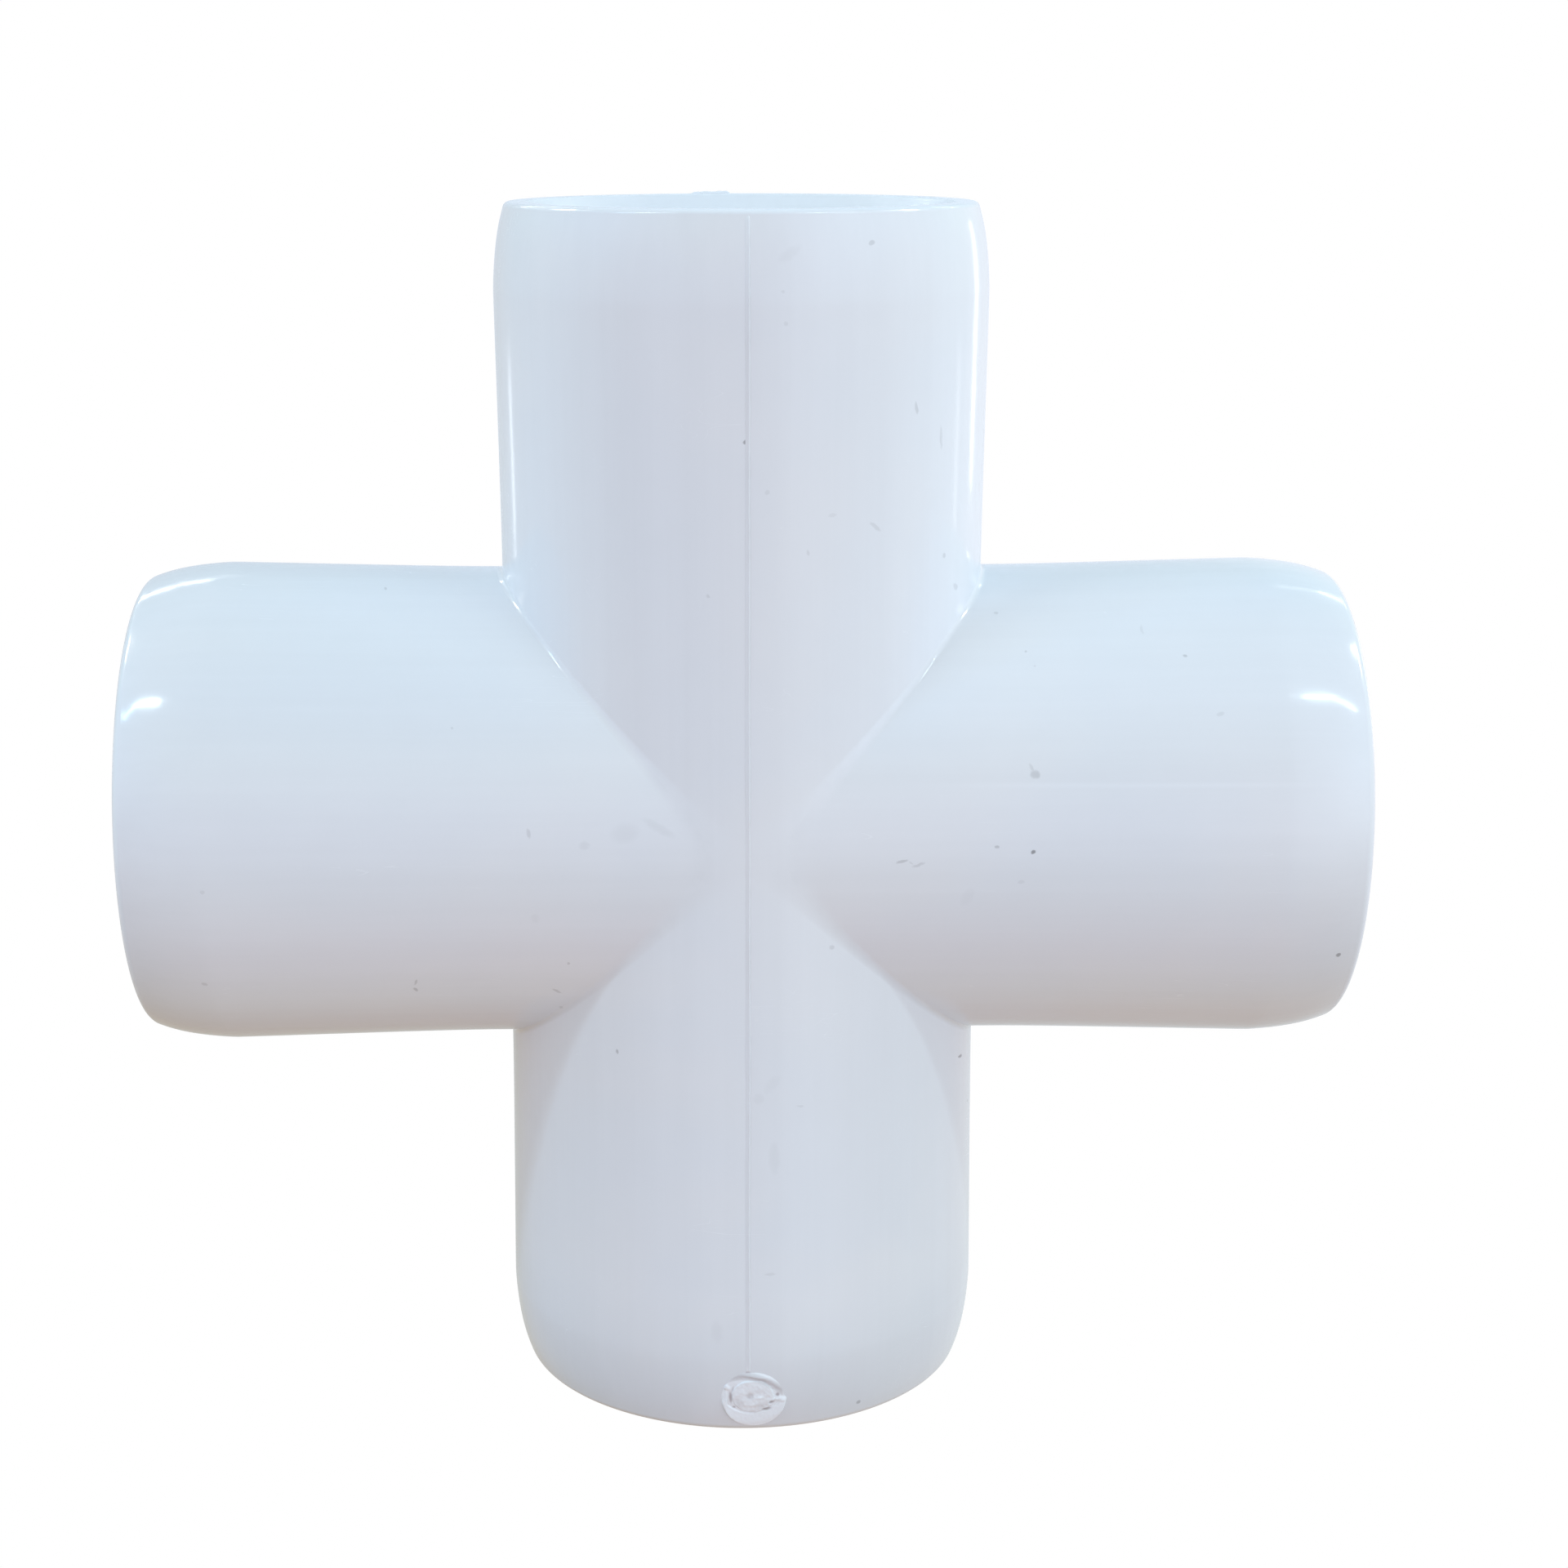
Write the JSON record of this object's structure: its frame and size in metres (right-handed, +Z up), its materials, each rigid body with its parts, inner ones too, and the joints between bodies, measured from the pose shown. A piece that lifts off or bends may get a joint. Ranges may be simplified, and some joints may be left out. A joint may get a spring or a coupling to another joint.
{
  "type": "pipe cross fitting",
  "caption": "White plastic pipe cross with slip sockets in one plane at right angles, joining straight pipes at a crossing.",
  "frame": {"origin": "where the axes of the upright run and the branches cross, at the centre of the fitting", "axes": "+Z up along the run, X along the branches, -Y out of the face that carries the moulding mark and faces the viewer"},
  "size_m": [0.0836, 0.0341, 0.0838],
  "materials": {
    "pvc_skin": "glossy moulded white PVC with a faint blue cast"
  },
  "bodies": {
    "root": {"centre_body": "pvc_skin", "top_socket": "pvc_skin", "bottom_socket": "pvc_skin", "left_socket": "pvc_skin", "right_socket": "pvc_skin", "front_parting_line": "pvc_skin", "rear_parting_line": "pvc_skin", "moulding_mark": "pvc_skin", "rim_flash": "pvc_skin"}
  },
  "joints": []
}
